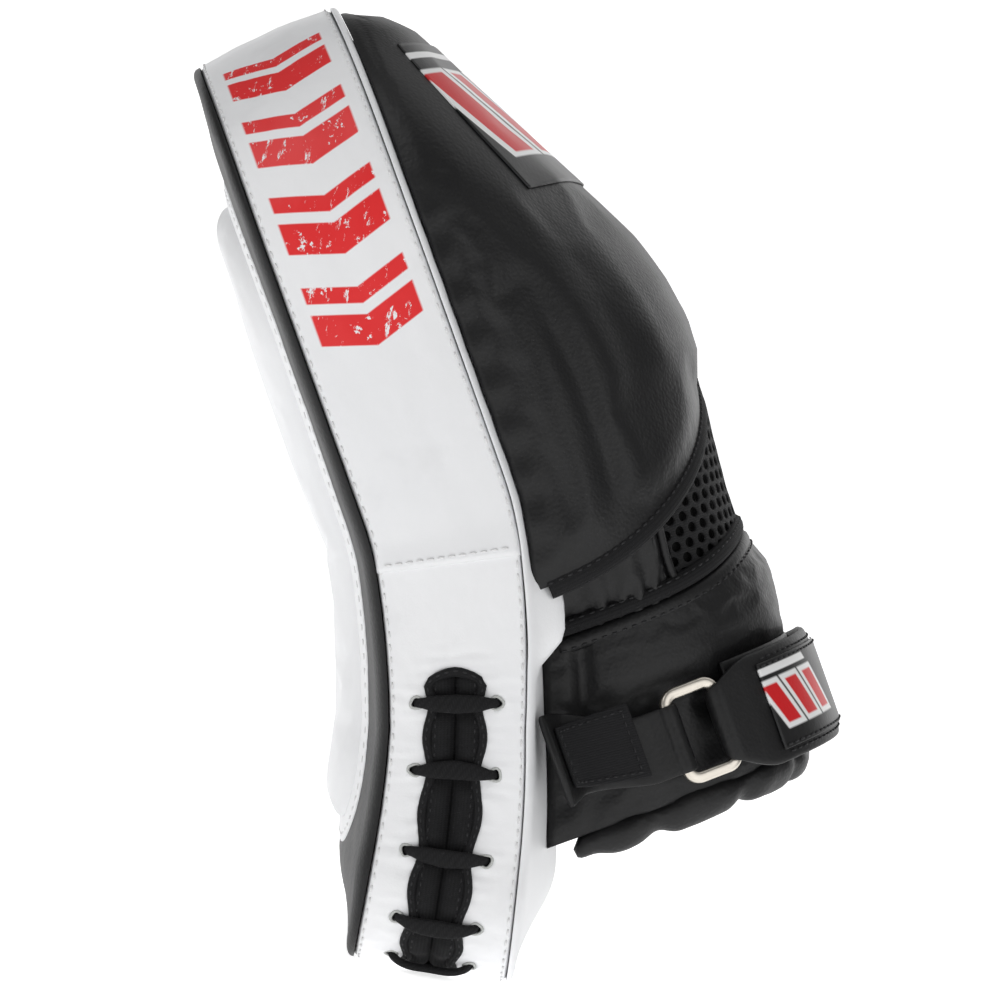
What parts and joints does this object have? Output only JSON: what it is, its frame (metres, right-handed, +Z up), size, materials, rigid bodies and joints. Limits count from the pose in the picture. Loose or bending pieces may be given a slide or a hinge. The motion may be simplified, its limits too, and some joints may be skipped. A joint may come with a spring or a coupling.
{
  "type": "focus mitt",
  "caption": "Curved padded focus mitt with a hooded glove on its back, a laced side wall and a hook-and-loop wrist strap with a metal ring.",
  "frame": {"origin": "middle of the flat wrist end of the side wall, which the mitt stands on", "axes": "+Z up towards the finger end, -Y out of the striking face, +Y out of the glove, +X to the little-finger side"},
  "size_m": [0.1964, 0.221, 0.2704],
  "materials": {
    "black_leather": "fine pebbled, soft sheen",
    "white_leather": "smooth, light creases",
    "foam": "closed-cell foam, hidden",
    "foam_sheet": "dense foam sheet, hidden",
    "board": "stiffener board, hidden",
    "binding_tape": "folded tape with a stitch line",
    "tongue_fabric": "quilted ridges",
    "lace": "flat braided",
    "air_mesh": "open hexagonal air mesh",
    "webbing": "woven webbing",
    "loop_face": "soft loop pile",
    "hook_face": "hook pile",
    "ring_metal": "warm nickel, lightly worn",
    "badge_print": null
  },
  "bodies": {
    "root": {"front_cover": "black_leather", "impact_sheet": "foam_sheet", "foam_core": "foam", "back_board": "board", "back_panel": "white_leather", "target_pad": "white_leather", "target_flange": "white_leather", "side_band_upper": "white_leather", "side_band_lower": "white_leather", "slot_binding": "binding_tape", "slot_tongue": "tongue_fabric", "side_lace": "lace", "hood_shell": "black_leather", "hood_binding": "binding_tape", "hood_badge": "badge_print", "mesh_panel": "air_mesh", "side_panel_near": "black_leather", "side_panel_far": "black_leather", "cuff_binding": "binding_tape", "cuff": "black_leather", "cuff_hem": "black_leather", "thumb_stall": "black_leather", "palm_ball": "black_leather", "wrist_strap": "black_leather", "loop_patch": "loop_face", "ring_loop": "black_leather", "anchor_tab": "black_leather", "anchor_patch": "webbing"},
    "ring": {"strap_ring": "ring_metal"},
    "tab": {"tab_fold": "black_leather", "pull_tab": "black_leather", "hook_patch": "hook_face", "tab_badge": "badge_print"},
    "tab_end": {"tab_tip": "black_leather"}
  },
  "joints": [
    {"name": "ring_swing", "type": "hinge", "parent": "root", "child": "ring", "pos_m": [0.06051, 0.05909, 0.07653], "axis": [0, 0.4848, -0.8746], "range_deg": [0, 25]},
    {"name": "tab_peel", "type": "hinge", "parent": "ring", "child": "tab", "pos_m": [0.05487, 0.07212, 0.08376], "axis": [0, 0.4848, -0.8746], "range_deg": [0, 100]},
    {"name": "tab_tip_peel", "type": "hinge", "parent": "tab", "child": "tab_end", "pos_m": [-0.01099, 0.10111, 0.09982], "axis": [0, 0.4848, -0.8746], "range_deg": [0, 50]}
  ]
}
